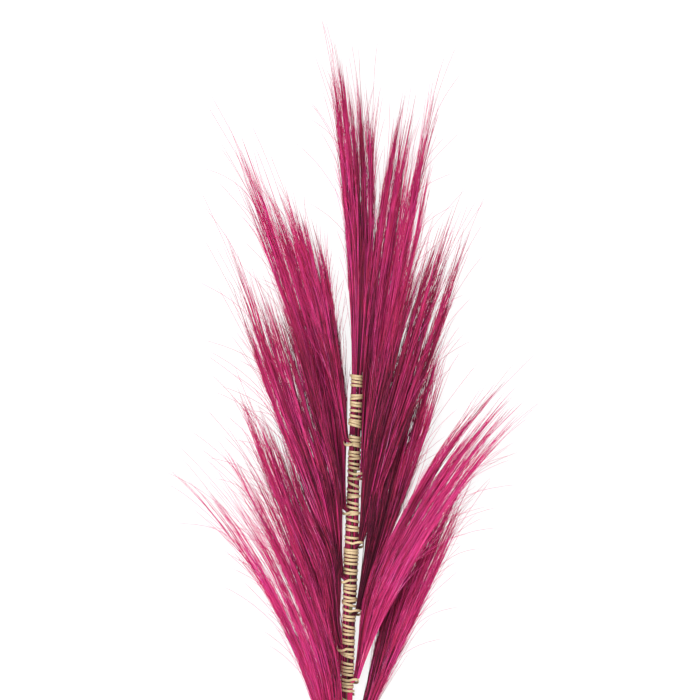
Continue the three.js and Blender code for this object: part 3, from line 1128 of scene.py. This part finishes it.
@dataclass
class Binding:
    """The split cane that ties the branch: an uneven helix with an ear at each tuft's neck."""

    joints: tuple[float, ...]  # from the top down, left-hand and right-hand in turn
    width: float = 2.75
    thickness: float = 0.9
    half_turns_per_joint: int = 15
    top_turns: tuple[tuple[float, int], ...] = ((721.0, 15), (732.5, 7), (742.5, 1), (754.0, 7))
    lowest: float = 240.0
    closest: float = 0.42  # of its width, from one half turn to the next where they touch
    crossing_share: float = 0.07  # of the half turns cross over the next one
    ear_reach: float = 5.4
    ear_half_turns: float = 0.42  # half turns that an ear takes to each side of its tip
    ear_fold: float = 2.6
    ear_rise: float = 2.4
    end_lift: float = 1.2  # how far both ends stand off the stem
    squareness: float = 0.6  # the section would be an ellipse at 1 and a rectangle at 0
    steps_per_turn: int = 28
    round_points: int = 10
    seed: int = 41

    def knots(self) -> tuple[Array, Array, Array]:
        """Heights at which the cane has turned through each half turn.

        Between two tufts' joints there is a whole number of half turns, unevenly spaced: many touch
        the next turn, some leave a gap, and a few cross over it. The cane comes to a tuft's side
        exactly at its joint.

        Returns:
            Half turns counted from the lowest knot, their heights, and how far each is lifted.
        """
        rng = np.random.default_rng(self.seed)
        stops = [(joint, self.half_turns_per_joint) for joint in reversed(self.joints)]
        while stops[0][0] > self.lowest:
            stops.insert(0, (stops[0][0] - JOINT_PITCH, self.half_turns_per_joint))
        stops += list(self.top_turns)
        sections = [np.array([stops[0][0]])]
        closest = self.closest * self.width
        for (low, _), (high, turns) in zip(stops, stops[1:]):
            loose = rng.gamma(0.7, 1.0, turns) + 0.1
            gaps = closest + ((high - low) - closest * turns) * loose / loose.sum()
            sections.append(low + np.cumsum(gaps))
        heights = np.concatenate(sections)
        crossing = rng.uniform(0.0, 1.0, len(heights)) < self.crossing_share
        for joint in self.joints:
            crossing &= np.abs(heights - joint) > 3.0
        lift = np.where(crossing, self.thickness, 0.0)
        heights = heights + rng.uniform(-0.35, 0.35, len(heights)) + crossing * 1.2 * self.width
        return np.arange(len(heights), dtype=float), heights, lift

    def strip(self, bottom: float, top: float, stem: Stem) -> MeshArrays:
        """One length of cane between two heights.

        The middle line at half turn h is radius(h) round the stem's axis at angle pi h, at the height
        that the knots give. Round a tuft's neck it swings out and folds into a V that opens towards
        the stem. Its section is a rounded rectangle, broad along the stem.

        Args:
            bottom: height of its lower end.
            top: height of its upper end.
            stem: the stem that it is wound on.

        Returns:
            Its mesh, in the stem's millimetres.
        """
        half_turns, heights, lifts = self.knots()
        start, end = (float(half_turns[np.argmin(np.abs(heights - h))]) for h in (bottom, top))
        turn = np.linspace(start, end, int((end - start) / 2 * self.steps_per_turn))
        along = np.interp(turn, half_turns, heights)
        ties = [float(half_turns[np.argmin(np.abs(heights - joint))]) for joint in self.joints]
        # The second joint from the top is on the right, where the angle is 0
        angle = np.pi * (turn - ties[1])
        radius = core_radius(along) + self.thickness / 2 + np.interp(turn, half_turns, lifts)
        # It never lies quite true
        radius = radius + 0.12 * np.sin(1.7 * turn) + 0.1 * np.sin(4.1 * turn + 1.0)
        rise = np.zeros_like(turn)
        for tie in ties:
            off = np.clip((turn - tie) / self.ear_half_turns, -1.0, 1.0)
            swing = 1.0 - off**2
            radius = radius + self.ear_reach * swing
            rise = rise + self.ear_rise * swing
            along = along + self.ear_fold * np.sin(np.pi * off)
        for distance in (turn - start, end - turn):
            radius = radius + self.end_lift * np.clip(1 - distance / 0.3, 0.0, None) ** 1.5
        spoke = np.stack([np.cos(angle), np.zeros_like(angle), np.sin(angle)], -1)
        centre = spoke * radius[:, None] + np.stack(
            [np.zeros_like(along), along, stem.axis_height + rise], -1
        )
        heading = unit(np.gradient(centre, axis=0))
        broad = unit(np.cross(heading, spoke))
        face = np.cross(broad, heading)
        round_turn = 2 * np.pi * np.arange(self.round_points) / self.round_points
        flat = np.sign(np.cos(round_turn)) * np.abs(np.cos(round_turn)) ** self.squareness
        crown = np.sin(round_turn)
        rings = (
            centre[:, None]
            + broad[:, None] * (0.5 * self.width * flat)[None, :, None]
            + face[:, None] * (0.5 * self.thickness * crown)[None, :, None]
        )
        rings[..., 2] = np.maximum(rings[..., 2], LOWEST_SURFACE)
        return tube(rings)


@dataclass
class Stick:
    """The reed: round, a little uneven, with swollen joints on its bare stretch and a sawn end."""

    length: float
    radius: float = 3.4
    joints: tuple[float, ...] = (52.0, 176.0)
    around: int = 40

    def shape(self, stem: Stem) -> MeshArrays:
        """The stick's surface: radius(s) round the axis, with s along it.

        Args:
            stem: the stem whose axis it follows.

        Returns:
            Its mesh, in the stem's millimetres.
        """
        s = np.unique(
            np.concatenate(
                [
                    np.array([0.0, 0.25, 0.8]),
                    np.linspace(3.0, self.length - 0.5, 150),
                    *[np.linspace(j - 8.0, j + 8.0, 33) for j in self.joints],
                    np.array([self.length]),
                ]
            )
        )
        radius = self.radius * (1 - 0.05 * s / self.length)
        # Each joint has a ridge on either side of a fine groove
        for joint in self.joints:
            off = s - joint
            radius = radius + 0.5 * np.exp(-((off - 1.3) ** 2) / 2.2)
            radius = radius + 0.45 * np.exp(-((off + 1.5) ** 2) / 5.0)
            radius = radius - 0.35 * np.exp(-(off**2) / 0.25)
        # The sawn end's edge is broken over its first 0.8 mm
        radius = radius * np.where(s < 0.8, 0.93 + 0.0875 * s, 1.0)
        angle = 2 * np.pi * np.arange(self.around) / self.around
        ridge = 1 + 0.012 * np.sin(5 * angle) + 0.009 * np.sin(9 * angle + 1.0)
        ray = radius[:, None] * ridge
        height = np.maximum(stem.axis_height + ray * np.sin(angle), LOWEST_SURFACE)
        rings = np.stack([ray * np.cos(angle), np.broadcast_to(s[:, None], ray.shape), height], -1)
        return tube(rings)


# ---------------------------------------------------------------- scene


@dataclass(frozen=True)
class Studio:
    """The pale floor, the soft light and the camera that looks straight down."""

    lens: float = 85.0
    sensor: float = 36.0
    view_width: float = 735.0
    centre_along: float = 780.4
    centre_right: float = -8.2
    roll: float = 0.0323
    floor_size: float = 60.0

    def build(self, stem: Stem) -> None:
        """Adds them to the scene.

        Args:
            stem: the stem that the camera is aimed by.
        """
        scene = bpy.context.scene
        scene.view_settings.view_transform = "Standard"
        self._floor()
        self._world(scene)
        self._lamps(stem)
        data = bpy.data.cameras.new("camera")
        data.lens = self.lens
        data.sensor_width = self.sensor
        camera = bpy.data.objects.new("camera", data)
        scene.collection.objects.link(camera)
        distance = self.view_width * self.lens / self.sensor
        camera.location = stem.place(np.array([self.centre_right, self.centre_along, distance + 20.0]))
        camera.rotation_euler = (0.0, 0.0, self.roll)
        scene.camera = camera

    def _floor(self) -> None:
        """A large square floor at height 0."""
        half = self.floor_size / 2
        mesh = bpy.data.meshes.new("floor")
        mesh.from_pydata(
            [(-half, -half, 0.0), (half, -half, 0.0), (half, half, 0.0), (-half, half, 0.0)],
            [],
            [(0, 1, 2, 3)],
        )
        floor = bpy.data.objects.new("floor", mesh)
        floor.data.materials.append(PaleFloor().build())
        bpy.context.scene.collection.objects.link(floor)
        floor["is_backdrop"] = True

    @staticmethod
    def _world(scene: bpy.types.Scene) -> None:
        """An even white sky.

        Args:
            scene: the scene to light.
        """
        world = bpy.data.worlds.new("soft_sky")
        world.use_nodes = True
        background = world.node_tree.nodes["Background"]
        background.inputs["Color"].default_value = (1.0, 1.0, 1.0, 1.0)
        background.inputs["Strength"].default_value = 0.75
        scene.world = world

    @staticmethod
    def _lamps(stem: Stem) -> None:
        """A broad lamp high on the left, and a weaker one on the right of the bare stick.

        Args:
            stem: the stem that they are aimed at.
        """
        for name, right, along, height, size, power in (
            ("lamp_left", -900.0, 1100.0, 1900.0, 1.2, 42.0),
            ("lamp_right", 1100.0, 300.0, 1900.0, 1.6, 18.0),
        ):
            data = bpy.data.lights.new(name, "AREA")
            data.shape = "SQUARE"
            data.size = size
            data.energy = power
            lamp = bpy.data.objects.new(name, data)
            bpy.context.scene.collection.objects.link(lamp)
            place = stem.place(np.array([right, along, height]))
            aim = stem.place(np.array([0.0, 700.0, 0.0]))
            lamp.location = place
            lamp.rotation_mode = "QUATERNION"
            lamp.rotation_quaternion = Vector(aim - place).to_track_quat("-Z", "Y")


def tuft_plan() -> list[Tuft]:
    """The tufts as they are tied, from the top of the branch down.

    Returns:
        The top tuft and then the side tufts, left and right in turn.
    """
    left, right = Side.LEFT, Side.RIGHT
    bright, deep = Dye.BRIGHT, Dye.DEEP
    top = Tuft(
        "tuft_top", Side.TOP, 374, 4.0, 5.0, 18, 0, deep, tone=0.42, slope=0.05, joint=754.0,
        flare=2, slant=0.22, hug=0, fullness=0.72, lock_count=5, tail_length=100.0,
    )
    # Each row starts with the length, lean, bend, half-width and layer
    rows = (
        ("tuft_left_1", left, 295, 13.4, 3, 13, 1, deep,
         dict(tone=0.42, flare=3, slant=0.35, hug=0, fullness=0.62, lock_count=5)),
        ("tuft_right_1", right, 402, 6.7, 2, 22, 0, bright,
         dict(tone=0.56, flare=1, slant=-0.06, hug=0.5, fullness=0.68, slope=0.1)),
        ("tuft_left_2", left, 444, 16.8, 8, 23, 0, bright,
         dict(tone=0.44, flare=6, slant=0.45, hug=4, fullness=0.6)),
        ("tuft_right_2", right, 380, 13.4, 3.5, 28, 2, bright,
         dict(tone=0.17, flare=4, slant=0.1, hug=2, slope=0.0, tail_length=62.0)),
        ("tuft_left_3", left, 376, 17.6, 3, 28, 2, deep,
         dict(tone=0.34, flare=3, slant=0.2, hug=5, fullness=0.6)),
        ("tuft_right_3", right, 328, 11.9, 0, 24, 1, deep,
         dict(tone=0.12, flare=4, slant=0.1, hug=-1, fullness=0.68)),
        ("tuft_left_4", left, 330, 19.7, 3, 23, 1, deep,
         dict(tone=0.36, flare=4, slant=0.45, hug=7, fullness=0.46, culm_count=250, hair_count=2000)),
        ("tuft_right_4", right, 374, 27.9, 16, 20, 2, bright,
         dict(tone=0.8, flare=8, slant=0.1, hug=5, fullness=0.48, lock_count=7)),
        ("tuft_left_5", left, 350, 21, 10, 23, 0, deep,
         dict(tone=0.72, flare=20, slant=0.35, hug=7, fullness=0.32, culm_count=100, hair_count=900)),
        ("tuft_right_5", right, 325, 18.8, 3, 21, 0, deep,
         dict(tone=0.5, flare=8, slant=0.2, hug=-2, fullness=0.54)),
        ("tuft_left_6", left, 412, 24, 19, 28, 2, bright,
         dict(tone=0.8, flare=25, slant=0.45, hug=4, fullness=0.38, culm_count=230, hair_count=1500)),
    )
    sides = [
        Tuft(*row, joint=FIRST_JOINT - rank * JOINT_PITCH, seed=100 + rank, **look)
        for rank, (*row, look) in enumerate(rows)
    ]
    return [top, *sides]


def main() -> None:
    logging.basicConfig(level=logging.INFO, format="%(message)s")
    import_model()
    stem = Stem.from_frame()
    Studio().build(stem)

    grasses = {dye: DyedGrass(dye.value).build() for dye in Dye}
    tufts = tuft_plan()
    for tuft in tufts:
        tuft.settle(stem)
        name, grass = tuft.node + "_stems", grasses[tuft.dye]
        finish_piece(tuft.grow(), stem, name, tuft.node, grass)

    stick = Stick(stem.stick_length)
    rings = tuple(stem.cut_y + joint * MM for joint in stick.joints)
    reed = Reed(nodes_along=rings, cut_y=stem.cut_y).build()
    finish_piece(stick.shape(stem), stem, "reed_cane", "reed_stick", reed)

    fresh = SplitCane().build()
    greyer = SplitCane("split_cane_weathered", straw=(0.66, 0.52, 0.32), tan=(0.36, 0.27, 0.14)).build()
    binding = Binding(tuple(tuft.joint for tuft in tufts[1:]))
    for number, cane in enumerate((fresh, fresh, greyer), start=1):
        node = f"binding_strip_{number}"
        low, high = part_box(node)
        arrays = binding.strip(stem.along(low.y) + STRIP_INSET, stem.along(high.y), stem)
        finish_piece(arrays, stem, f"binding_cane_{number}", node, cane)

    low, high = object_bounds()


if __name__ == "__main__":
    main()
